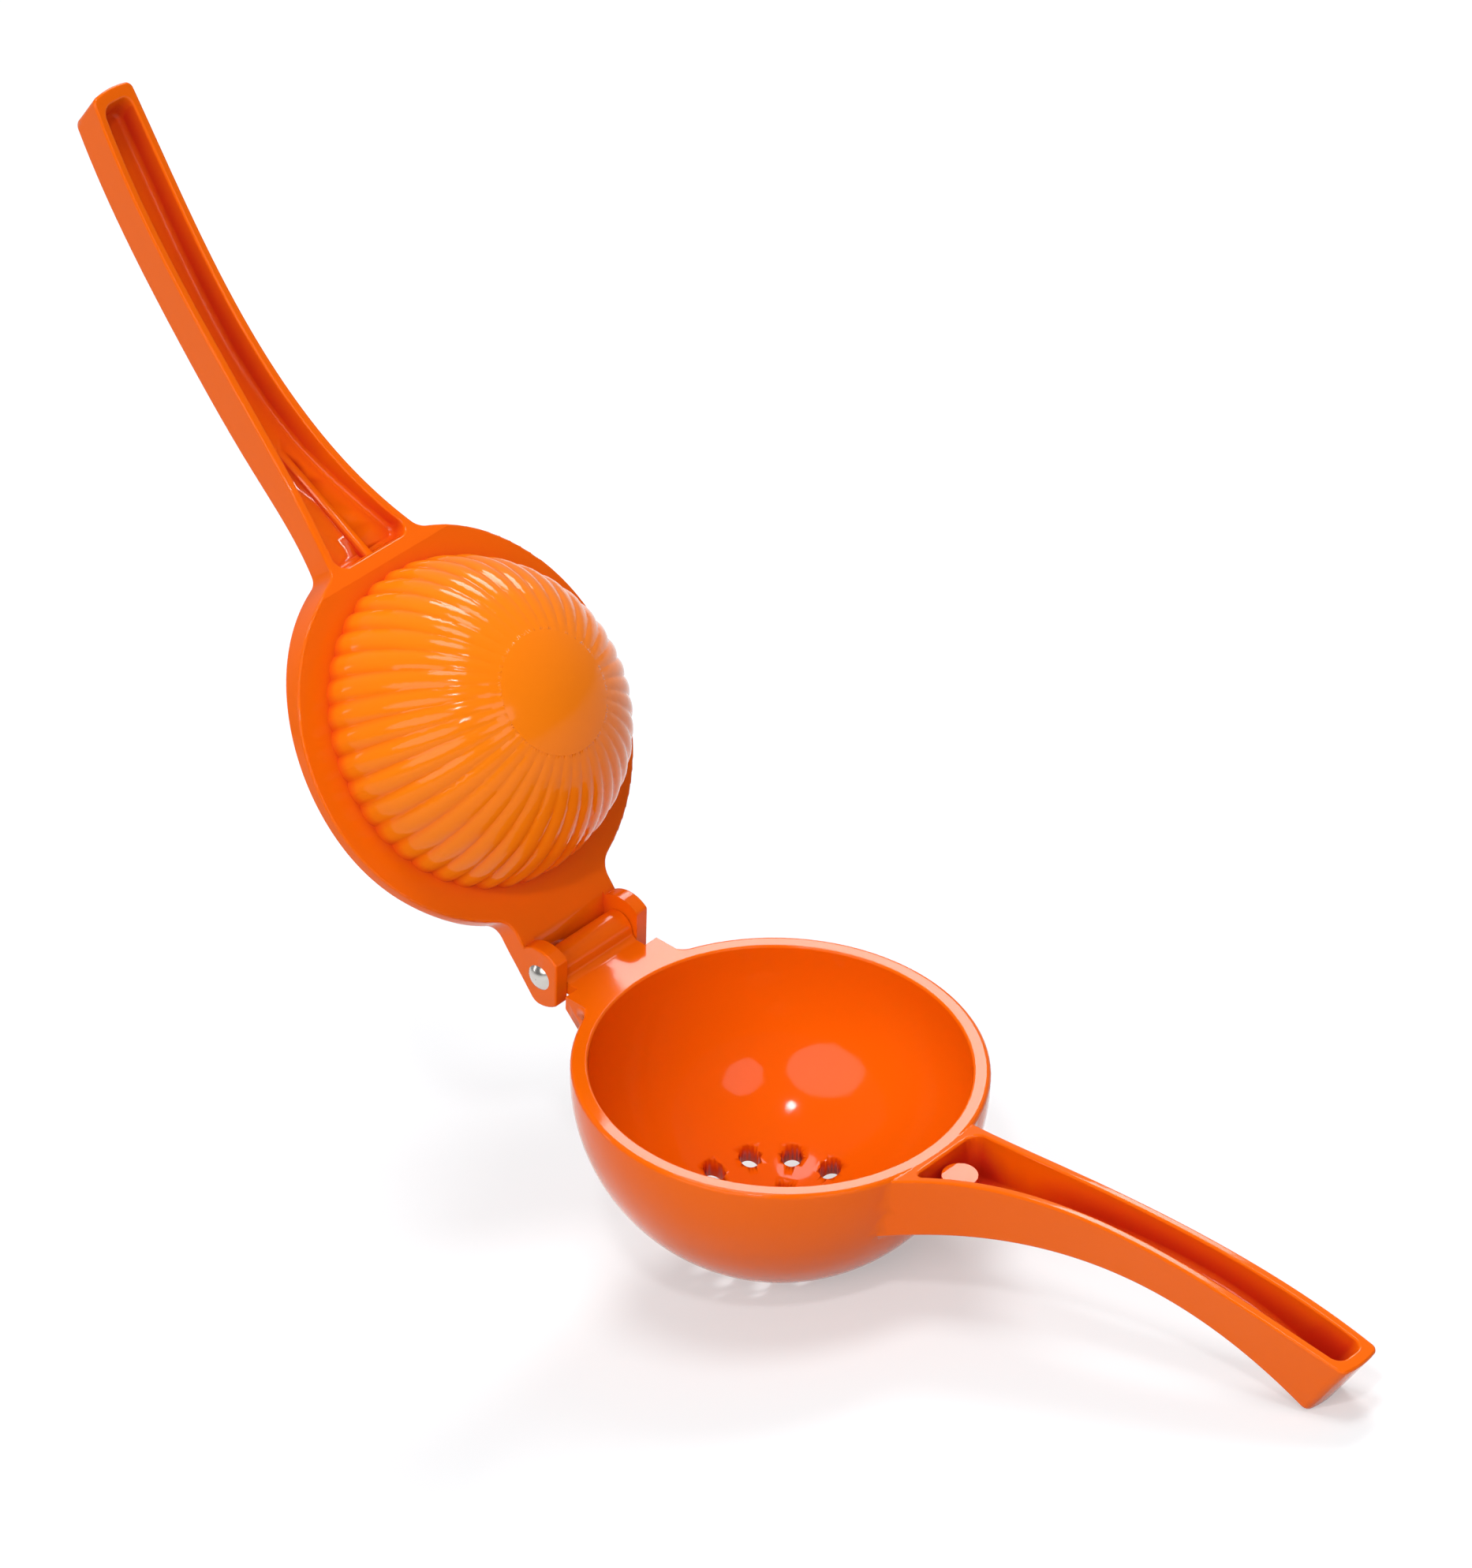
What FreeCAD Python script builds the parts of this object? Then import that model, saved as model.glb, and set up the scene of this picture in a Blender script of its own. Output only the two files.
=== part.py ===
import FreeCAD, Part
import math
import os

# Hinged citrus squeezer: a bowl arm and a press arm, both enamelled aluminium castings, on one steel rivet.
# Both arms are drawn closed, with the origin at the middle of the bowl's rim, x along the handles and z up
# out of the bowl. The press arm is then swung open about the rivet, and the whole part is laid down so that
# it stands on the bottom of the bowl and on the tip of the lower handle. Lengths are in mm, angles in degrees.

# Bowl
bowl_radius = 45.2
bowl_wall = 3.8
bowl_centre_drop = 2.3
rim_outer_round = 1.1
rim_inner_round = 0.6

# Strainer holes in the bottom of the bowl
strainer_hole_diameter = 4.8
strainer_hole_pitch = 9.0
strainer_ring_count = 2

# Both handles have the same plan: a flare at the root, then a nearly straight grip
handle_root_half_width = 15.6
handle_flare_reach = 13.0
handle_flare_half_width = 9.4
handle_grip_reach = 33.0
handle_grip_half_width = 6.8
handle_middle_reach = 73.0
handle_middle_half_width = 6.15
handle_tip_half_width = 5.7
handle_tip_corner_round = 1.8
handle_tip_bulge = 0.7
handle_wall = 2.1
handle_floor = 2.6
handle_end_wall = 3.0
handle_edge_round = 0.6
trough_corner_round = 2.4
trough_floor_round = 1.4

# Lower handle, measured out from the bowl and up from the rim plane
lower_root_height = -2.8
lower_root_back_height = -17.9
lower_shoulder_reach = 25.0
lower_shoulder_height = 7.7
lower_crest_reach = 70.5
lower_crest_height = 12.2
lower_tip_reach = 113.6
lower_tip_height = 8.5
lower_back_shoulder_height = -5.3
lower_back_crest_reach = 67.5
lower_back_crest_height = 2.0
lower_tip_back_reach = 104.9
lower_tip_back_height = -6.4

lower_trough_gap = 0.8

# Boss in the root of the lower trough
boss_radius = 3.9
boss_reach = 5.5
boss_drop = 2.3

# Hinge, measured out from the bowl and up from the rim plane
hinge_reach = 11.8
hinge_rise = 1.2
hinge_width = 29.6
ear_thickness = 3.6
ear_radius = 7.4
ear_flat_distance = 5.0
ear_corner_round = 1.0
ear_back_round = 3.0
barrel_radius = 4.0
barrel_foot_round = 2.0
pocket_reach = 8.4
pocket_clearance = 0.6
ear_edge_round = 0.6
side_clearance = 0.3
running_clearance = 0.07
seat_clearance = 0.02

# Tab from the bowl to the barrel
tab_width = 29.2
tab_thickness = 3.3
tab_shoulder_gap = 0.4
tab_gusset_angle = 45.0
tab_flare_round = 5.0

# Rivet
rivet_radius = 2.0
rivet_head_radius = 3.0
rivet_head_height = 1.1

# Flange and dome of the press arm
flange_inset = 1.0
flange_gap = 1.0
flange_thickness = 3.1
neck_thickness = 5.9
neck_reach = 13.0
neck_end_thickness = 5.6
neck_slope_length = 8.0
neck_foot_thickness = 3.6
neck_foot_length = 10.0
neck_round = 5.0
press_centre_shift = 1.5
fruit_gap = 4.4
dome_centre_rise = 2.1
dome_wall = 2.8
reed_count = 40
reed_depth = 0.9
reed_round = 4.7
reed_cap_angle = 22.0

# Upper handle, measured out from the flange and up from the rim plane
upper_root_reach = -5.0
upper_shoulder_reach = 26.0
upper_shoulder_height = 9.9
upper_crest_reach = 75.0
upper_crest_height = 13.7
upper_tip_reach = 113.1
upper_tip_height = 10.0
upper_back_root_height = 10.5
upper_back_shoulder_height = 19.3
upper_back_crest_reach = 58.5
upper_back_crest_height = 23.2
upper_tip_back_reach = 110.1
upper_tip_back_height = 19.6
upper_root_round = 4.0
upper_trough_reach = -2.0

# Fin in the root of the upper trough
fin_thickness = 1.8
fin_root_drop = 2.9

# How far the press arm stands open
open_angle = 129.4

# Sizes worked out from the ones above
hinge_x = -(bowl_radius + hinge_reach)
flange_radius = bowl_radius - flange_inset
flange_edge_x = flange_radius - press_centre_shift
dome_radius = bowl_radius - bowl_wall - fruit_gap
dome_centre_z = flange_gap + dome_centre_rise
barrel_half_length = hinge_width / 2 - ear_thickness - side_clearance
ear_inner_y = hinge_width / 2 - ear_thickness
shoulder_x = hinge_x + ear_radius + tab_shoulder_gap
mid_wall_radius = bowl_radius - bowl_wall / 2
rim_radius = math.sqrt(bowl_radius ** 2 - bowl_centre_drop ** 2)
root_overlap = 2 * bowl_wall
rim_overlap = 0.05
cut_room = 10.0
cut_height = 60.0

y_axis = FreeCAD.Vector(0, 1, 0)
z_axis = FreeCAD.Vector(0, 0, 1)


def vec(x, y, z):
    return FreeCAD.Vector(x, y, z)


def spline(points):
    curve = Part.BSplineCurve()
    curve.interpolate(points)
    return curve.toShape()


def line(start, end):
    return Part.makeLine(start, end)


def prism(edges, direction):
    """The solid that a closed outline sweeps along a straight direction."""
    face = Part.Face(Part.Wire(Part.__sortEdges__(edges)))
    return face.extrude(direction)


def side_prism(edges, half_width):
    """A side view, drawn at y = 0, as a solid that runs half_width to each side."""
    solid = prism(edges, vec(0, 2 * half_width, 0))
    solid.translate(vec(0, -half_width, 0))
    return solid


def plan_prism(edges):
    """A plan, drawn at z = 0, as a solid that runs well past the part above and below."""
    solid = prism(edges, vec(0, 0, 2 * cut_height))
    solid.translate(vec(0, 0, -cut_height))
    return solid


def round_edges(shape, radius, wanted):
    """Rounds each edge for which wanted(edge) is true."""
    edges = [edge for edge in shape.Edges if not edge.Degenerated and wanted(edge)]
    return shape.makeFillet(radius, edges)


def middle(edge):
    return edge.valueAt((edge.FirstParameter + edge.LastParameter) / 2)


def runs_along(edge, axis):
    """True for an edge whose two ends differ only along the axis."""
    run = edge.valueAt(edge.LastParameter) - edge.valueAt(edge.FirstParameter)
    return run.Length > 0.5 and abs(run.dot(axis)) > 0.99 * run.Length


def follows(edge, side_line):
    """True for an edge that lies, seen from the side, on a line drawn at y = 0."""
    span = edge.LastParameter - edge.FirstParameter
    places = [edge.valueAt(edge.FirstParameter + share * span) for share in (0.1, 0.5, 0.9)]
    flat = [Part.Vertex(vec(p.x, 0, p.z)) for p in places]
    return all(side_line.distToShape(point)[0] < 0.05 for point in flat)


def handle_plan(root_x, tip_x, inset):
    """The plan of a handle whose flare starts at root_x, drawn in by inset at the sides."""
    half_widths = [
        (-root_overlap, handle_root_half_width),
        (handle_flare_reach, handle_flare_half_width),
        (handle_grip_reach, handle_grip_half_width),
        (handle_middle_reach, handle_middle_half_width),
        (tip_x - root_x, handle_tip_half_width),
    ]
    far = [vec(root_x + reach, half - inset, 0) for reach, half in half_widths]
    near = [vec(p.x, -p.y, 0) for p in far]
    return plan_prism([spline(far), line(far[-1], near[-1]), spline(near), line(near[0], far[0])])


def inside_tip(face_line, back_line):
    """All that lies on the root's side of a handle's end, which bulges a little between the sides."""
    slope = (face_line[-1] - back_line[-1]).normalize()
    inward = vec(-slope.z, 0, slope.x) * (1 if slope.z > 0 else -1)
    half = handle_tip_half_width
    bulge_radius = (half ** 2 + handle_tip_bulge ** 2) / (2 * handle_tip_bulge)
    wide = 2 * half
    depth = bulge_radius - math.sqrt(bulge_radius ** 2 - wide ** 2)
    low = face_line[-1] - slope * (2 * cut_height)
    start = low + inward * depth - vec(0, wide, 0)
    end = low + inward * depth + vec(0, wide, 0)
    back_end = end + inward * 4 * cut_height + vec(0, cut_height, 0)
    back_start = start + inward * 4 * cut_height - vec(0, cut_height, 0)
    outline = [Part.Arc(start, low, end).toShape(), line(end, back_end), line(back_end, back_start),
               line(back_start, start)]
    return prism(outline, slope * (4 * cut_height))


def handle_body(face_line, back_line, root_x):
    """A handle's outside, from the lines along its open face and its back."""
    outline = [spline(face_line), line(face_line[-1], back_line[-1]), spline(back_line),
               line(back_line[0], face_line[0])]
    tip_x = max(face_line[-1].x, back_line[-1].x)
    body = side_prism(outline, cut_height).common(handle_plan(root_x, tip_x, 0))
    body = body.common(inside_tip(face_line, back_line))
    tip = (face_line[-1] + back_line[-1]) / 2
    slope = (face_line[-1] - back_line[-1]).normalize()
    return round_edges(body, handle_tip_corner_round, lambda edge: runs_along(edge, slope)
                       and abs(middle(edge).x - tip.x) < handle_tip_half_width)


def handle_trough(face_line, back_line, root_x, start_x):
    """A handle's hollow. It leaves a floor along the back and walls at the sides, the root and the tip."""
    opens = 1 if face_line[-1].z > back_line[-1].z else -1
    floor = [p + vec(0, 0, opens * handle_floor) for p in back_line]
    slope = (face_line[-1] - back_line[-1]).normalize()
    inward = vec(-slope.z, 0, slope.x) * opens
    end_low = face_line[-1] + inward * handle_end_wall - slope * cut_height
    end_high = face_line[-1] + inward * handle_end_wall + slope * cut_height
    start_low = vec(start_x, 0, end_low.z)
    start_high = vec(start_x, 0, end_high.z)
    beyond = floor[-1] + vec(2 * cut_room, 0, 0)
    over = [vec(p.x, 0, opens * cut_height) for p in (floor[0], beyond)]
    above_floor = [spline(floor), line(floor[-1], beyond), line(beyond, over[1]), line(over[1], over[0]),
                   line(over[0], floor[0])]
    between_ends = [line(start_low, end_low), line(end_low, end_high), line(end_high, start_high),
                    line(start_high, start_low)]
    tip_x = max(face_line[-1].x, back_line[-1].x)
    hollow = side_prism(above_floor, cut_height).common(side_prism(between_ends, cut_height))
    hollow = hollow.common(handle_plan(root_x, tip_x, handle_wall))
    is_wall_corner = lambda edge: runs_along(edge, z_axis) or runs_along(edge, slope)
    hollow = round_edges(hollow, trough_corner_round, is_wall_corner)
    floor_line = spline(floor)
    return round_edges(hollow, trough_floor_round, lambda edge: follows(edge, floor_line))


def lower_face_line():
    return [
        vec(bowl_radius - root_overlap, 0, lower_root_height),
        vec(bowl_radius + lower_shoulder_reach, 0, lower_shoulder_height),
        vec(bowl_radius + lower_crest_reach, 0, lower_crest_height),
        vec(bowl_radius + lower_tip_reach, 0, lower_tip_height),
    ]


def lower_back_line():
    return [
        vec(bowl_radius - root_overlap, 0, lower_root_back_height),
        vec(bowl_radius + lower_shoulder_reach, 0, lower_back_shoulder_height),
        vec(bowl_radius + lower_back_crest_reach, 0, lower_back_crest_height),
        vec(bowl_radius + lower_tip_back_reach, 0, lower_tip_back_height),
    ]


def is_rim_edge(edge):
    return isinstance(edge.Curve, Part.Circle) and abs(edge.Curve.Center.z) < 1e-6


def build_bowl():
    """The bowl alone: a ball, cut flat at the rim and hollowed, with both edges of the rim rounded."""
    centre = vec(0, 0, -bowl_centre_drop)
    bowl = Part.makeSphere(bowl_radius, centre).cut(Part.makeSphere(bowl_radius - bowl_wall, centre))
    size = 4 * bowl_radius
    bowl = bowl.cut(Part.makeBox(size, size, size, vec(-size / 2, -size / 2, 0)))
    bowl = round_edges(bowl, rim_outer_round, lambda edge: is_rim_edge(edge) and edge.Curve.Radius > mid_wall_radius)
    return round_edges(bowl, rim_inner_round, lambda edge: is_rim_edge(edge) and edge.Curve.Radius < mid_wall_radius)


def strainer_holes():
    """Upright holes on rings round the bowl's lowest point."""
    holes = []
    for ring in range(strainer_ring_count + 1):
        count = max(1, 6 * ring)
        for index in range(count):
            turn = 2 * math.pi * index / count
            reach = ring * strainer_hole_pitch
            place = vec(reach * math.cos(turn), reach * math.sin(turn), -2 * bowl_radius)
            holes.append(Part.makeCylinder(strainer_hole_diameter / 2, 2 * bowl_radius - cut_room, place))
    return holes


def rounded_handle(face_line, back_line, root_x, start_x):
    """A whole trough handle with the lips of its trough and the edges of its back rounded."""
    body = handle_body(face_line, back_line, root_x)
    body = body.cut(handle_trough(face_line, back_line, root_x, start_x))
    face_edge = spline(face_line)
    back_edge = spline(back_line)
    root_end = face_line[0].x + handle_edge_round
    return round_edges(body, handle_edge_round, lambda edge: middle(edge).x > root_end
                       and (follows(edge, face_edge) or follows(edge, back_edge)))


def build_boss():
    """The round boss in the root of the lower trough, standing on the trough's floor."""
    top_z = -boss_drop
    boss_x = bowl_radius + boss_reach
    deepest = lower_root_back_height + handle_floor
    return Part.makeCylinder(boss_radius, top_z - deepest, vec(boss_x, 0, deepest))


def build_tab():
    """The tab from the bowl to the hinge, level with the rim, with the gusset under it."""
    half = tab_width / 2
    inner_x = -mid_wall_radius / 2
    drop = (inner_x - shoulder_x) * math.tan(math.radians(tab_gusset_angle))
    corners = [
        vec(shoulder_x, 0, 0),
        vec(inner_x, 0, 0),
        vec(inner_x, 0, -tab_thickness - drop),
        vec(shoulder_x, 0, -tab_thickness),
    ]
    outline = [line(corners[i - 1], corners[i]) for i in range(len(corners))]
    gusset = side_prism(outline, half)
    edge_radius = rim_radius - rim_overlap
    plan = Part.makeCylinder(edge_radius, tab_thickness, vec(0, 0, -tab_thickness))
    plate = Part.makeBox(inner_x - shoulder_x, tab_width, tab_thickness, vec(shoulder_x, -half, -tab_thickness))
    plan = plan.fuse(plate).removeSplitter()
    plan = round_edges(plan, tab_flare_round, lambda edge: runs_along(edge, z_axis)
                       and abs(abs(middle(edge).y) - half) < 1 and middle(edge).x > shoulder_x + 1)
    plan = round_edges(plan, rim_outer_round, lambda edge: abs(middle(edge).z) < 1e-4
                       and abs(middle(edge).x - shoulder_x) > 0.1)
    reach = half + tab_flare_round
    near_tab = Part.makeBox(inner_x - shoulder_x, 2 * reach, tab_thickness, vec(shoulder_x, -reach, -tab_thickness))
    tab = gusset.fuse(plan.common(near_tab))
    return tab.cut(Part.makeSphere(mid_wall_radius, vec(0, 0, -bowl_centre_drop)))


def build_barrel():
    """The barrel between the ears, with its tongue to the tab and a round at its foot."""
    tongue_length = shoulder_x - hinge_x + 1
    under = barrel_radius - hinge_rise
    tongue = Part.makeBox(tongue_length, 2 * barrel_half_length, under, vec(hinge_x, -barrel_half_length, -under))
    barrel = Part.makeCylinder(barrel_radius, 2 * barrel_half_length, vec(hinge_x, -barrel_half_length, hinge_rise),
                               y_axis)
    foot_x = hinge_x + math.sqrt(barrel_radius ** 2 - hinge_rise ** 2)
    barrel = barrel.fuse(tongue).removeSplitter()
    return round_edges(barrel, barrel_foot_round, lambda edge: runs_along(edge, y_axis)
                       and abs(middle(edge).x - foot_x) < 0.1 and abs(middle(edge).z) < 0.1)


def build_bowl_arm():
    """The lower casting."""
    handle = rounded_handle(lower_face_line(), lower_back_line(), bowl_radius, bowl_radius + lower_trough_gap)
    boss = build_boss().common(handle_body(lower_face_line(), lower_back_line(), bowl_radius))
    handle = handle.fuse(boss)
    handle = handle.cut(Part.makeSphere(mid_wall_radius, vec(0, 0, -bowl_centre_drop)))
    bore = Part.makeCylinder(rivet_radius + running_clearance, hinge_width, vec(hinge_x, -hinge_width / 2, hinge_rise),
                             y_axis)
    arm = build_bowl().fuse([build_tab(), build_barrel(), handle])
    return arm.cut([bore] + strainer_holes())


def upper_face_line():
    root_x = flange_edge_x
    return [
        vec(root_x + upper_root_reach, 0, flange_gap),
        vec(root_x + upper_shoulder_reach, 0, upper_shoulder_height),
        vec(root_x + upper_crest_reach, 0, upper_crest_height),
        vec(root_x + upper_tip_reach, 0, upper_tip_height),
    ]


def upper_back_line():
    root_x = flange_edge_x
    neck_end_x = hinge_x + neck_reach
    return [
        vec(hinge_x - ear_radius - 1, 0, flange_gap + neck_thickness),
        vec(hinge_x + barrel_radius, 0, flange_gap + neck_thickness),
        vec(neck_end_x, 0, flange_gap + neck_end_thickness),
        vec(neck_end_x + neck_slope_length, 0, flange_gap + neck_foot_thickness),
        vec(neck_end_x + neck_slope_length + neck_foot_length, 0, flange_gap + flange_thickness),
        vec(-press_centre_shift, 0, flange_gap + flange_thickness),
        vec(root_x, 0, upper_back_root_height),
        vec(root_x + upper_shoulder_reach, 0, upper_back_shoulder_height),
        vec(root_x + upper_back_crest_reach, 0, upper_back_crest_height),
        vec(root_x + upper_tip_back_reach, 0, upper_tip_back_height),
    ]


def flange_plan(tip_x):
    """The plan of the press arm: neck, round flange and handle, with the corners between them rounded."""
    plan = Part.makeCylinder(flange_radius, 2 * cut_height, vec(-press_centre_shift, 0, -cut_height))
    neck = Part.makeBox(-hinge_x, hinge_width, 2 * cut_height, vec(hinge_x, -hinge_width / 2, -cut_height))
    plan = plan.fuse(neck).removeSplitter()
    plan = round_edges(plan, neck_round, lambda edge: runs_along(edge, z_axis) and middle(edge).x > hinge_x + 1
                       and middle(edge).x < 0)
    plan = plan.fuse(handle_plan(flange_edge_x, tip_x, 0)).removeSplitter()
    return round_edges(plan, upper_root_round, lambda edge: runs_along(edge, z_axis)
                       and 0 < middle(edge).x < flange_edge_x)


def build_flange_and_handle():
    """Neck, flange and upper handle as one plate of changing thickness, with the trough cut."""
    face_line = upper_face_line()
    back_line = upper_back_line()
    start = vec(back_line[0].x, 0, flange_gap)
    outline = [spline(face_line), line(face_line[-1], back_line[-1]), spline(back_line), line(back_line[0], start),
               line(start, face_line[0])]
    body = side_prism(outline, cut_height).common(flange_plan(face_line[-1].x))
    body = body.common(inside_tip(face_line, back_line))
    slope = (face_line[-1] - back_line[-1]).normalize()
    tip_x = (face_line[-1].x + back_line[-1].x) / 2
    body = round_edges(body, handle_tip_corner_round, lambda edge: runs_along(edge, slope)
                       and abs(middle(edge).x - tip_x) < handle_tip_half_width)
    trough = handle_trough(face_line, back_line, flange_edge_x, flange_edge_x + upper_trough_reach)
    return body.cut(trough)


def build_lobe(top_z, cap_z):
    """One reed: the part of a round bar, bent over the dome from side to side, that lies in its own sector."""
    centre = vec(-press_centre_shift, 0, dome_centre_z)
    bar = Part.makeTorus(dome_radius - reed_round, reed_round, centre, y_axis)
    reach = 2 * dome_radius
    half_width = reach * math.tan(math.pi / reed_count)
    corners = [
        vec(-press_centre_shift, 0, 0),
        vec(reach - press_centre_shift, -half_width, 0),
        vec(reach - press_centre_shift, half_width, 0),
    ]
    sector = plan_prism([line(corners[i - 1], corners[i]) for i in range(len(corners))])
    band = Part.makeBox(reach, 2 * reach, top_z - cap_z, vec(-press_centre_shift, -reach, cap_z))
    return bar.common(sector).common(band)


def build_dome():
    """The reeded dome that presses the fruit, from the flange down, without its hollow."""
    centre = vec(-press_centre_shift, 0, dome_centre_z)
    top_z = flange_gap + flange_thickness / 2
    cap_z = dome_centre_z - dome_radius * math.cos(math.radians(reed_cap_angle))
    lobe = build_lobe(top_z, cap_z)
    lobes = []
    for index in range(reed_count):
        turned = lobe.copy()
        turned.rotate(centre, z_axis, index * 360 / reed_count)
        lobes.append(turned)
    size = 4 * dome_radius
    below_cap = Part.makeBox(size, size, size, vec(-size / 2, -size / 2, cap_z - size))
    above_top = Part.makeBox(size, size, size, vec(-size / 2, -size / 2, top_z))
    cap = Part.makeSphere(dome_radius, centre).common(below_cap)
    core = Part.makeSphere(dome_radius - reed_depth - dome_wall / 2, centre).cut(above_top)
    return core.fuse(lobes + [cap]).removeSplitter()


def dome_hollow():
    """The hollow behind the dome, open at the back of the flange."""
    inner_radius = dome_radius - reed_depth - dome_wall
    centre = vec(-press_centre_shift, 0, dome_centre_z)
    return Part.makeSphere(inner_radius, centre).fuse(Part.makeCylinder(inner_radius, cut_height, centre))


def build_fin():
    """The upright fin in the root of the upper trough, cut to the outside of the handle's back."""
    root = upper_face_line()[0]
    start_x = flange_edge_x + upper_trough_reach - 1
    end_x = flange_edge_x + upper_shoulder_reach
    start_z = root.z + fin_root_drop + (upper_shoulder_height - root.z) * (start_x - root.x) / (end_x - root.x)
    end_z = upper_back_shoulder_height - handle_floor
    corners = [vec(start_x, 0, start_z), vec(end_x, 0, end_z), vec(end_x, 0, cut_height), vec(start_x, 0, cut_height)]
    outline = [line(corners[i - 1], corners[i]) for i in range(len(corners))]
    floor = [p - vec(0, 0, handle_floor / 2) for p in upper_back_line()]
    over = [vec(p.x, 0, -cut_height) for p in (floor[0], floor[-1])]
    below_back = [spline(floor), line(floor[-1], over[1]), line(over[1], over[0]), line(over[0], floor[0])]
    return side_prism(outline, fin_thickness / 2).common(side_prism(below_back, fin_thickness / 2))


def build_ears():
    """Both ears as one block about the hinge axis, with a flat that faces the bowl when the arm is open."""
    back_z = flange_gap + neck_thickness
    block = Part.makeCylinder(ear_radius, hinge_width, vec(hinge_x, -hinge_width / 2, hinge_rise), y_axis)
    size = 4 * ear_radius
    flat = Part.makeBox(size, size, size, vec(hinge_x + ear_flat_distance, -size / 2, hinge_rise - size / 2))
    flat.rotate(vec(hinge_x, 0, hinge_rise), y_axis, open_angle)
    above_back = Part.makeBox(size, size, size, vec(hinge_x - size / 2, -size / 2, back_z))
    block = block.cut([flat, above_back])
    block = round_edges(block, ear_back_round, lambda edge: runs_along(edge, y_axis)
                        and middle(edge).x < hinge_x and middle(edge).z > back_z - 0.1)
    block = round_edges(block, ear_corner_round, lambda edge: runs_along(edge, y_axis)
                        and middle(edge).x < hinge_x + ear_radius / 2 and middle(edge).z < hinge_rise)
    return round_edges(block, ear_edge_round, lambda edge: abs(abs(middle(edge).y) - hinge_width / 2) < 1e-4
                       and (middle(edge).z < flange_gap or middle(edge).x < hinge_x - ear_radius / 4))


def hinge_pocket():
    """The pocket between the ears: round behind the barrel, then a ramp out to the face of the neck."""
    radius = barrel_radius + pocket_clearance
    mouth = vec(hinge_x + pocket_reach, 0, flange_gap)
    to_mouth = mouth - vec(hinge_x, 0, hinge_rise)
    tangent = math.atan2(to_mouth.z, to_mouth.x) + math.acos(radius / to_mouth.Length)
    touch = vec(hinge_x + radius * math.cos(tangent), 0, hinge_rise + radius * math.sin(tangent))
    corners = [
        mouth,
        touch,
        vec(hinge_x, 0, hinge_rise),
        vec(hinge_x, 0, -cut_height),
        vec(mouth.x, 0, -cut_height),
    ]
    ramp = side_prism([line(corners[i - 1], corners[i]) for i in range(len(corners))], ear_inner_y)
    barrel_room = Part.makeCylinder(radius, 2 * ear_inner_y, vec(hinge_x, -ear_inner_y, hinge_rise), y_axis)
    size = 2 * cut_height
    behind = Part.makeBox(size, 2 * ear_inner_y, size, vec(hinge_x - size, -ear_inner_y, -cut_height))
    return [ramp, barrel_room, behind]


def is_flange_rim(edge):
    """True for the outline of the flange and neck on the side that faces the bowl."""
    ends = [edge.valueAt(edge.FirstParameter), edge.valueAt(edge.LastParameter)]
    level = all(abs(p.z - flange_gap) < 1e-4 for p in ends)
    return level and abs(middle(edge).y) > hinge_width / 4


def build_press_arm():
    """The upper casting, drawn closed."""
    arm = build_flange_and_handle()
    face_edge = spline(upper_face_line())
    back_edge = spline(upper_back_line())
    arm = round_edges(arm, handle_edge_round, lambda edge: middle(edge).x > hinge_x + 1
                      and (follows(edge, face_edge) or follows(edge, back_edge) or is_flange_rim(edge)))
    arm = arm.fuse([build_ears(), build_dome(), build_fin()])
    bore = Part.makeCylinder(rivet_radius + seat_clearance, hinge_width, vec(hinge_x, -hinge_width / 2, hinge_rise),
                             y_axis)
    return arm.cut([dome_hollow(), bore] + hinge_pocket()).removeSplitter()


def build_rivet():
    """The rivet: a plain shank between two low domed heads, turned about the hinge axis."""
    head_start = hinge_width / 2
    end = head_start + rivet_head_height
    ball = (rivet_head_radius ** 2 + rivet_head_height ** 2) / (2 * rivet_head_height)
    on_dome = rivet_head_radius / 2
    dome_y = end - ball + math.sqrt(ball ** 2 - on_dome ** 2)
    outline = [
        line(vec(0, -end, 0), vec(0, end, 0)),
        Part.Arc(vec(0, end, 0), vec(on_dome, dome_y, 0), vec(rivet_head_radius, head_start, 0)).toShape(),
        line(vec(rivet_head_radius, head_start, 0), vec(rivet_radius, head_start, 0)),
        line(vec(rivet_radius, head_start, 0), vec(rivet_radius, -head_start, 0)),
        line(vec(rivet_radius, -head_start, 0), vec(rivet_head_radius, -head_start, 0)),
        Part.Arc(vec(rivet_head_radius, -head_start, 0), vec(on_dome, -dome_y, 0), vec(0, -end, 0)).toShape(),
    ]
    rivet = Part.Face(Part.Wire(outline)).revolve(vec(0, 0, 0), y_axis, 360)
    rivet.translate(vec(hinge_x, 0, hinge_rise))
    return rivet


def standing_tilt():
    """The turn about y that sets the bowl's bottom and the lower handle's tip on one level."""
    face_tip = lower_face_line()[-1]
    back_tip = lower_back_line()[-1]
    back_edge = spline(lower_back_line())
    along_back = -back_edge.tangentAt(back_edge.LastParameter)
    along_tip = (face_tip - back_tip).normalize()
    half_corner = along_back.getAngle(along_tip) / 2
    centre = back_tip + (along_back + along_tip).normalize() * (handle_edge_round / math.sin(half_corner))
    run = centre + vec(0, 0, bowl_centre_drop)
    return math.degrees(math.asin((bowl_radius - handle_edge_round) / run.Length) + math.atan2(run.z, run.x))


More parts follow.
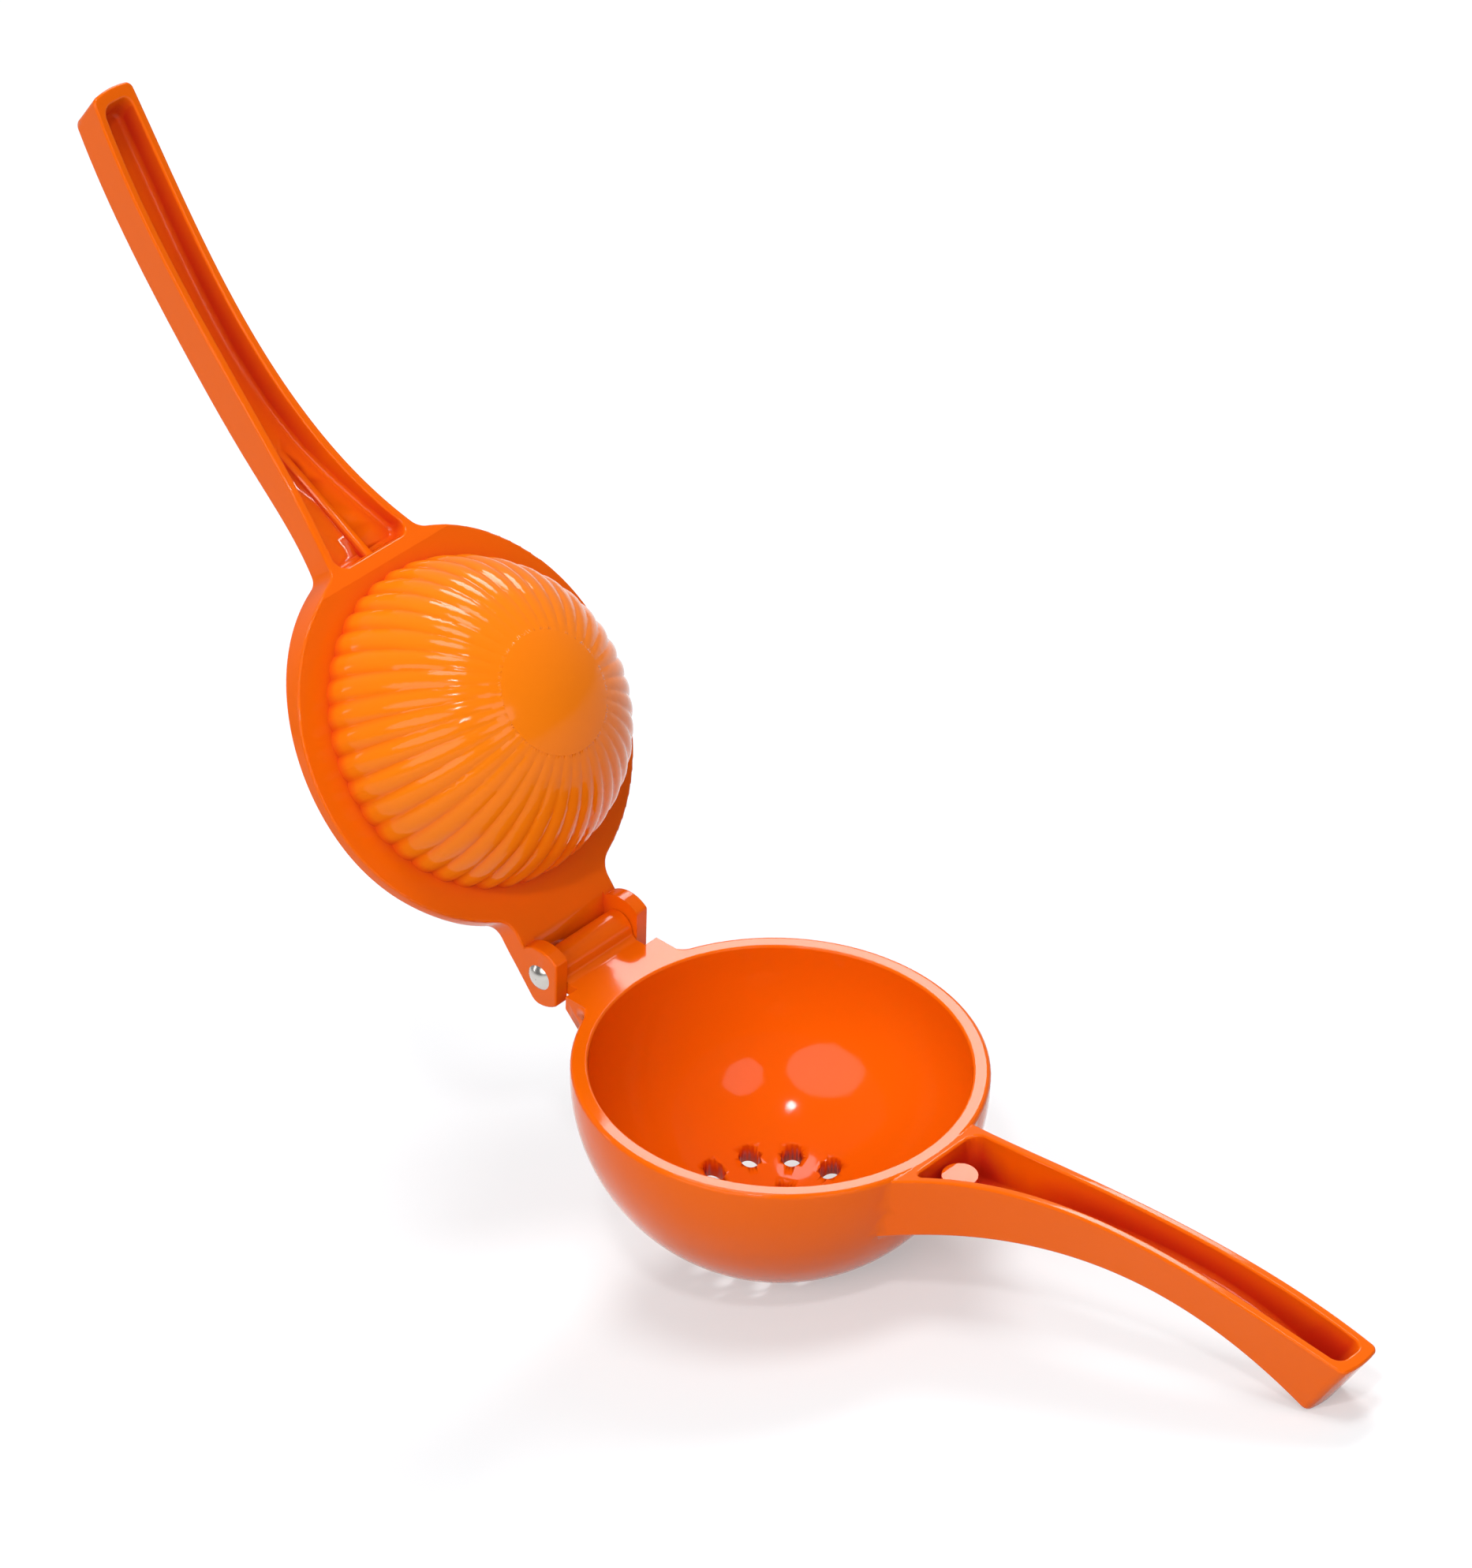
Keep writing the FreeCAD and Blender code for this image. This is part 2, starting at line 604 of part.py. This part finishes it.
def place(shapes):
    """Opens the press arm, lays the tool down and moves it over the origin."""
    bowl_arm, press_arm, rivet = shapes
    hinge = vec(hinge_x, 0, hinge_rise)
    for shape in (press_arm, rivet):
        shape.rotate(hinge, y_axis, -open_angle)
    tilt = standing_tilt()
    for shape in shapes:
        shape.rotate(vec(0, 0, 0), y_axis, tilt)
    box = Part.makeCompound(shapes).optimalBoundingBox(False, False)
    shift = vec(-(box.XMin + box.XMax) / 2, -(box.YMin + box.YMax) / 2, -box.ZMin)
    for shape in shapes:
        shape.translate(shift)
    turn = FreeCAD.Rotation(y_axis, tilt)
    print("tilt", tilt)
    for name, point in (("rim centre", vec(0, 0, 0)), ("hinge", hinge)):
        print(name, turn.multVec(point) + shift)
    print("rim normal", turn.multVec(z_axis))
    return shapes


def main():
    os.makedirs("parts", exist_ok=True)
    names = ["bowl_arm", "press_arm", "hinge_rivet"]
    shapes = place([build_bowl_arm(), build_press_arm(), build_rivet()])
    for name, shape in zip(names, shapes):
        solid = shape.Solids[0]
        print(name, len(shape.Solids), solid.isValid(), solid.Volume, solid.BoundBox)
        solid.exportStep("parts/" + name + ".step")


main()
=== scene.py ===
import math

import bpy
from bpy.props import FloatProperty, FloatVectorProperty, PointerProperty
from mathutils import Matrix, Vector


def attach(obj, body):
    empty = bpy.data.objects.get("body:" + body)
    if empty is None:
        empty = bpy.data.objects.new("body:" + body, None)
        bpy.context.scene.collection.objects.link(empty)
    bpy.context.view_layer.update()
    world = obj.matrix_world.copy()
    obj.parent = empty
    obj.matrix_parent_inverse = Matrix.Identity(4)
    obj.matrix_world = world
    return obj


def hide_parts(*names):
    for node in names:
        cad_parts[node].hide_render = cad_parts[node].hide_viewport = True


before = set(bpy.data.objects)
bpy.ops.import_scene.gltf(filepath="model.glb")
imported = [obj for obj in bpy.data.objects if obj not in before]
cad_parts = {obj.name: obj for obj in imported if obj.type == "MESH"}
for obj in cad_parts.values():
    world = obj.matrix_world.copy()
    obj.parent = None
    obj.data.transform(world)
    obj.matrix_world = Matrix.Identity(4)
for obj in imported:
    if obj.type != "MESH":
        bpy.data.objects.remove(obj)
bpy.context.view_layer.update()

bl_info = {
    "name": "Hinged Citrus Squeezer",
    "version": (1, 0, 0),
    "blender": (4, 5, 0),
    "location": "3D View > Sidebar > Squeezer",
    "description": "Dresses the squeezer's castings and rivet and sets up its studio",
    "category": "Object",
}

# Smoothing of the castings' meshes
MERGE_DISTANCE = 0.000002
DISSOLVE_ANGLE = math.radians(0.3)
SMOOTH_ANGLE = math.radians(48)
AREA_WEIGHT = 50

# The press dome at rest, for the painted light on its reeds: paler and yellower where light falls
DOME_CENTRE = (-0.07823, 0, 0.11451)
DOME_RADIUS = 0.037
DOME_AXIS = (0.918, 0, 0.3965)
CREST_DEPTH = (0.0010, 0.0001)
CREST_LEAST = 0.15
BEYOND_DOME = (0.0002, 0.0030)
ABOVE_DOME_FOOT = (0.0020, 0.0050)

# Enamel
ENAMEL_IOR = 1.25
CLOUD_SCALE = 24
CLOUD_DETAIL = 3
CLOUD_TONE = 0.16
CLOUD_BAND = (0.35, 0.65)
CLOUD_GLOSS = (0.8, 1.3)
# Painted shade in the hollows: how it is found and how fast it fades
HOLLOW_SAMPLES = 8
HOLLOW_DISTANCE = 0.012
HOLLOW_BAND = (0.25, 0.75)
RIPPLE_DETAIL = 2
RIPPLE_STRENGTH = 0.35
RIPPLE_HEIGHT = 0.0002

# Steel
GRAIN_SCALE = 900
GRAIN_DETAIL = 4
GRAIN_GLOSS = (0.7, 1.4)

# Studio
FLOOR_ROUGHNESS = 0.9
FLOOR_SPECULAR = 0.2
FLOOR_GLOW = 0.38
SKY_COLOUR = (0.95, 0.97, 1.0, 1)
SKY_BRIGHT_SIDE = (-0.70, 0.64, 0.30)
SKY_BAND = (-0.35, 0.75)
SKY_LEVEL = (0.12, 0.42)
CAMERA_LOCATION = (1.20321871, -1.09372498, 0.87796557)
CAMERA_TURN = (64.38580481, 10.51963635, 42.63226874)
CAMERA_FILM_WIDTH = 36
CAMERA_REACH = 100

# Name, location, target, size and watts of each lamp
LAMPS = (
    ("back_softbox", (-0.75, 1.25, 1.70), (-0.02, 0, 0.08), (0.8, 0.8), 22),
    ("top_softbox", (0.15, -0.05, 2.4), (0, 0, 0.05), (0.9, 0.9), 21),
    ("left_softbox", (-1.55, -1.25, 0.65), (-0.03, 0, 0.1), (0.3, 0.8), 2.5),
    ("key_softbox", (1.03, -1.03, 1.72), (0, 0, 0.1), (0.2, 0.2), 10),
    ("front_softbox", (0.6, -2.1, 1.2), (0, 0, 0.1), (2.2, 1.4), 30),
    ("right_softbox", (1.9, -0.6, 0.9), (-0.05, 0, 0.08), (1.0, 0.8), 7),
)


class EnamelSettings(bpy.types.PropertyGroup):
    colour: FloatVectorProperty(
        name="Enamel colour", description="Colour of the coat where no light or shade is painted",
        subtype="COLOR", size=3, min=0, max=1, default=(0.80, 0.113, 0.001))
    # Painted light: the dome's reeds are coloured paler and yellower, as if brightly lit
    painted_light_colour: FloatVectorProperty(
        name="Painted dome light colour",
        description="Colour of the painted light on the dome, most on the crests of the reeds",
        subtype="COLOR", size=3, min=0, max=1, default=(0.84, 0.190, 0.004))
    # Painted shade: the troughs and hollows are coloured a deeper red, as if in shade
    hollow_shade_colour: FloatVectorProperty(
        name="Painted hollow shade colour", description="Colour of the painted shade in the troughs and other hollows",
        subtype="COLOR", size=3, min=0, max=1, default=(0.62, 0.030, 0.008))
    gloss_roughness: FloatProperty(
        name="Gloss roughness", description="Roughness of the glossy coat", min=0, max=1, default=0.09)
    ripple_size: FloatProperty(
        name="Ripple size", description="Width of the soft ripples in the coat", subtype="DISTANCE",
        unit="LENGTH", min=0.0005, max=0.05, default=0.006)


class SteelSettings(bpy.types.PropertyGroup):
    colour: FloatVectorProperty(
        name="Steel colour", description="Colour of the polished rivet",
        subtype="COLOR", size=3, min=0, max=1, default=(0.60, 0.57, 0.53))
    roughness: FloatProperty(
        name="Steel roughness", description="Roughness of the polished rivet", min=0, max=1, default=0.22)


class StudioSettings(bpy.types.PropertyGroup):
    floor_colour: FloatVectorProperty(
        name="Floor colour", description="Colour of the plain floor",
        subtype="COLOR", size=3, min=0, max=1, default=(0.52, 0.53, 0.54))
    floor_reach: FloatProperty(
        name="Floor reach", description="How far the floor reaches from the object", subtype="DISTANCE",
        unit="LENGTH", min=1, max=50, default=12)
    focal_length: FloatProperty(
        name="Focal length", description="Lens of the camera in millimetres on a 36 mm frame",
        min=20, max=400, default=195.44)


def make_active(obj):
    bpy.ops.object.select_all(action="DESELECT")
    obj.select_set(True)
    bpy.context.view_layer.objects.active = obj


def node_copy(node, name):
    """A merged and smoothed copy of a casting's solid."""
    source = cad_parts[node]
    obj = source.copy()
    obj.data = source.data.copy()
    obj.name = name
    obj.data.name = name
    obj.parent = None
    for key in list(obj.keys()):
        if key.startswith("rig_"):
            del obj[key]
    bpy.context.scene.collection.objects.link(obj)
    make_active(obj)
    bpy.ops.object.mode_set(mode="EDIT")
    bpy.ops.mesh.select_all(action="SELECT")
    bpy.ops.mesh.remove_doubles(threshold=MERGE_DISTANCE)
    bpy.ops.mesh.dissolve_limited(angle_limit=DISSOLVE_ANGLE)
    bpy.ops.object.mode_set(mode="OBJECT")
    bpy.ops.object.shade_smooth_by_angle(angle=SMOOTH_ANGLE)
    weighted = obj.modifiers.new("weighted_normals", "WEIGHTED_NORMAL")
    weighted.keep_sharp = True
    weighted.weight = AREA_WEIGHT
    bpy.ops.object.modifier_apply(modifier=weighted.name)
    return obj


def set_material(obj, material):
    obj.data.materials.clear()
    obj.data.materials.append(material)


class Shading:
    """Adds nodes to one node tree; a value given to a node is a plain value or another node's output."""

    def __init__(self, tree):
        self.nodes = tree.nodes
        self.links = tree.links

    def feed(self, socket, value):
        if isinstance(value, bpy.types.NodeSocket):
            self.links.new(value, socket)
        else:
            socket.default_value = value

    def place(self, kind):
        return self.nodes.new("ShaderNodeTexCoord").outputs[kind]

    def noise(self, place, scale, detail):
        node = self.nodes.new("ShaderNodeTexNoise")
        self.feed(node.inputs["Vector"], place)
        self.feed(node.inputs["Scale"], scale)
        self.feed(node.inputs["Detail"], detail)
        return node.outputs["Fac"]

    def ranged(self, value, start, end, low=0, high=1):
        node = self.nodes.new("ShaderNodeMapRange")
        for name, given in (("Value", value), ("From Min", start), ("From Max", end), ("To Min", low),
                            ("To Max", high)):
            self.feed(node.inputs[name], given)
        return node.outputs["Result"]

    def maths(self, operation, *values):
        node = self.nodes.new("ShaderNodeMath")
        node.operation = operation
        for socket, value in zip(node.inputs, values):
            self.feed(socket, value)
        return node.outputs["Value"]

    def vector_maths(self, operation, first, second):
        node = self.nodes.new("ShaderNodeVectorMath")
        node.operation = operation
        self.feed(node.inputs[0], first)
        self.feed(node.inputs[1], second)
        return node.outputs["Value"]

    def mixed(self, factor, first, second):
        """A mix of two colours; its sockets go by number, because colour and vector sockets share names."""
        node = self.nodes.new("ShaderNodeMix")
        node.data_type = "RGBA"
        self.feed(node.inputs[0], factor)
        self.feed(node.inputs[6], first)
        self.feed(node.inputs[7], second)
        return node.outputs[2]


def new_material(name):
    material = bpy.data.materials.new(name)
    material.use_nodes = True
    tree = material.node_tree
    return material, Shading(tree), tree.nodes["Principled BSDF"].inputs


def painted_dome_light(shading, place):
    """How much painted light the dome takes: most on the crests of the reeds and on the cap of the dome."""
    reach = shading.vector_maths("DISTANCE", place, DOME_CENTRE)
    crest = shading.ranged(reach, DOME_RADIUS - CREST_DEPTH[0], DOME_RADIUS - CREST_DEPTH[1], CREST_LEAST)
    inside = shading.ranged(reach, DOME_RADIUS + BEYOND_DOME[0], DOME_RADIUS + BEYOND_DOME[1], 1, 0)
    rise = shading.vector_maths("DOT_PRODUCT", place, DOME_AXIS)
    foot = Vector(DOME_CENTRE).dot(Vector(DOME_AXIS))
    proud = shading.ranged(rise, foot + ABOVE_DOME_FOOT[0], foot + ABOVE_DOME_FOOT[1])
    return shading.maths("MULTIPLY", shading.maths("MULTIPLY", crest, inside), proud)


def painted_hollow_shade(shading):
    """How much painted shade falls: most in the troughs and other narrow hollows, found by ambient
    occlusion.
    """
    hollow = shading.nodes.new("ShaderNodeAmbientOcclusion")
    hollow.samples = HOLLOW_SAMPLES
    hollow.only_local = True
    shading.feed(hollow.inputs["Distance"], HOLLOW_DISTANCE)
    return shading.ranged(hollow.outputs["AO"], *HOLLOW_BAND, 1, 0)


def enamel_material(settings):
    """Thick glossy enamel: an uneven colour, painted light on the dome, painted shade in the hollows, an
    uneven gloss and soft ripples.
    """
    material, shading, surface = new_material("orange_enamel")
    place = shading.place("Object")
    shading.feed(surface["IOR"], ENAMEL_IOR)

    clouds = shading.noise(place, CLOUD_SCALE, CLOUD_DETAIL)
    # Random cloudy tone plus painted light on the dome's reeds and cap
    tone_and_dome_light = shading.maths("MULTIPLY_ADD", clouds, CLOUD_TONE, painted_dome_light(shading, place))
    tone = shading.mixed(tone_and_dome_light, (*settings.colour, 1), (*settings.painted_light_colour, 1))
    # Painted shade: deeper red in the troughs and other hollows
    shaded_tone = shading.mixed(painted_hollow_shade(shading), tone, (*settings.hollow_shade_colour, 1))
    shading.feed(surface["Base Color"], shaded_tone)

    roughness = [settings.gloss_roughness * share for share in CLOUD_GLOSS]
    shading.feed(surface["Roughness"], shading.ranged(clouds, *CLOUD_BAND, *roughness))

    ripple = shading.nodes.new("ShaderNodeBump")
    shading.feed(ripple.inputs["Strength"], RIPPLE_STRENGTH)
    shading.feed(ripple.inputs["Distance"], RIPPLE_HEIGHT)
    shading.feed(ripple.inputs["Height"], shading.noise(place, 1 / settings.ripple_size, RIPPLE_DETAIL))
    shading.feed(surface["Normal"], ripple.outputs["Normal"])
    return material


def steel_material(settings):
    """Polished steel with a fine uneven gloss."""
    material, shading, surface = new_material("polished_steel")
    shading.feed(surface["Metallic"], 1)
    shading.feed(surface["Base Color"], (*settings.colour, 1))
    grain = shading.noise(shading.place("Object"), GRAIN_SCALE, GRAIN_DETAIL)
    roughness = [settings.roughness * share for share in GRAIN_GLOSS]
    shading.feed(surface["Roughness"], shading.ranged(grain, 0, 1, *roughness))
    return material


def floor_material(colour):
    """Plain floor, lifted to white where it is seen directly, in a reflection or through a piece."""
    material, shading, surface = new_material("studio_floor")
    shading.feed(surface["Base Color"], (*colour, 1))
    shading.feed(surface["Roughness"], FLOOR_ROUGHNESS)
    shading.feed(surface["Specular IOR Level"], FLOOR_SPECULAR)
    path = shading.nodes.new("ShaderNodeLightPath").outputs
    mirrored = shading.maths("MAXIMUM", path["Is Glossy Ray"], path["Is Transmission Ray"])
    shown = shading.maths("MAXIMUM", path["Is Camera Ray"], mirrored)
    shading.feed(surface["Emission Color"], (1, 1, 1, 1))
    shading.feed(surface["Emission Strength"], shading.maths("MULTIPLY", shown, FLOOR_GLOW))
    return material


def studio_world():
    """Dim surroundings, brighter on one side."""
    world = bpy.data.worlds.new("studio_world")
    world.use_nodes = True
    shading = Shading(world.node_tree)
    background = shading.nodes["Background"].inputs
    facing = shading.vector_maths("DOT_PRODUCT", shading.place("Generated"), SKY_BRIGHT_SIDE)
    shading.feed(background["Strength"], shading.ranged(facing, *SKY_BAND, *SKY_LEVEL))
    shading.feed(background["Color"], SKY_COLOUR)
    return world


def area_light(name, location, target, size, power):
    light = bpy.data.lights.new(name, "AREA")
    light.shape = "ELLIPSE"
    light.size, light.size_y = size
    light.energy = power
    obj = bpy.data.objects.new(name, light)
    obj.location = location
    obj.rotation_euler = (Vector(target) - Vector(location)).to_track_quat("-Z", "Y").to_euler()
    bpy.context.scene.collection.objects.link(obj)


def photo_camera(focal_length):
    camera_data = bpy.data.cameras.new("photo_camera")
    camera_data.sensor_width = CAMERA_FILM_WIDTH
    camera_data.lens = focal_length
    camera_data.clip_end = CAMERA_REACH
    camera = bpy.data.objects.new("photo_camera", camera_data)
    camera.location = CAMERA_LOCATION
    camera.rotation_euler = [math.radians(turn) for turn in CAMERA_TURN]
    bpy.context.scene.collection.objects.link(camera)
    return camera


class SQUEEZER_OT_bowl_arm(bpy.types.Operator):
    """Dresses the lower casting"""
    bl_idname = "squeezer.bowl_arm"
    bl_label = "Bowl Arm"

    def execute(self, context):
        obj = node_copy("bowl_arm", "bowl_arm_enamelled")
        set_material(obj, enamel_material(context.scene.squeezer_enamel))
        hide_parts("bowl_arm")
        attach(obj, "bowl_arm")
        return {"FINISHED"}


class SQUEEZER_OT_press_arm(bpy.types.Operator):
    """Dresses the upper casting"""
    bl_idname = "squeezer.press_arm"
    bl_label = "Press Arm"

    def execute(self, context):
        obj = node_copy("press_arm", "press_arm_enamelled")
        set_material(obj, bpy.data.materials["orange_enamel"])
        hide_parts("press_arm")
        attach(obj, "press_arm")
        return {"FINISHED"}


class SQUEEZER_OT_rivet(bpy.types.Operator):
    """Dresses the hinge rivet"""
    bl_idname = "squeezer.rivet"
    bl_label = "Rivet"

    def execute(self, context):
        set_material(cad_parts["hinge_rivet"], steel_material(context.scene.squeezer_steel))
        return {"FINISHED"}


class SQUEEZER_OT_stage(bpy.types.Operator):
    """Sets up the floor, the lamps and the camera"""
    bl_idname = "squeezer.stage"
    bl_label = "Stage"

    def execute(self, context):
        studio = context.scene.squeezer_studio
        bpy.ops.object.select_all(action="DESELECT")
        bpy.ops.mesh.primitive_plane_add(size=2 * studio.floor_reach, location=(0, 0, 0))
        floor = context.active_object
        floor.name = "floor"
        set_material(floor, floor_material(studio.floor_colour))
        context.scene.world = studio_world()
        for lamp in LAMPS:
            area_light(*lamp)
        context.scene.camera = photo_camera(studio.focal_length)
        context.scene.view_settings.view_transform = "Standard"
        return {"FINISHED"}


class SQUEEZER_PT_panel(bpy.types.Panel):
    """Lists the steps that dress the squeezer"""
    bl_label = "Squeezer"
    bl_idname = "SQUEEZER_PT_panel"
    bl_space_type = "VIEW_3D"
    bl_region_type = "UI"
    bl_category = "Squeezer"

    def draw(self, context):
        scene = context.scene
        for operator in OPERATORS:
            self.layout.operator(operator.bl_idname)
        for settings in (scene.squeezer_enamel, scene.squeezer_steel, scene.squeezer_studio):
            for name in settings.__annotations__:
                self.layout.prop(settings, name)


OPERATORS = (SQUEEZER_OT_bowl_arm, SQUEEZER_OT_press_arm, SQUEEZER_OT_rivet, SQUEEZER_OT_stage)
GROUPS = (EnamelSettings, SteelSettings, StudioSettings)


def register():
    for item in GROUPS + OPERATORS + (SQUEEZER_PT_panel,):
        bpy.utils.register_class(item)
    bpy.types.Scene.squeezer_enamel = PointerProperty(type=EnamelSettings)
    bpy.types.Scene.squeezer_steel = PointerProperty(type=SteelSettings)
    bpy.types.Scene.squeezer_studio = PointerProperty(type=StudioSettings)


def unregister():
    del bpy.types.Scene.squeezer_studio
    del bpy.types.Scene.squeezer_steel
    del bpy.types.Scene.squeezer_enamel
    for item in reversed(GROUPS + OPERATORS + (SQUEEZER_PT_panel,)):
        bpy.utils.unregister_class(item)


def main():
    register()
    bpy.ops.squeezer.bowl_arm()
    bpy.ops.squeezer.press_arm()
    bpy.ops.squeezer.rivet()
    bpy.ops.squeezer.stage()


if __name__ == "__main__":
    main()
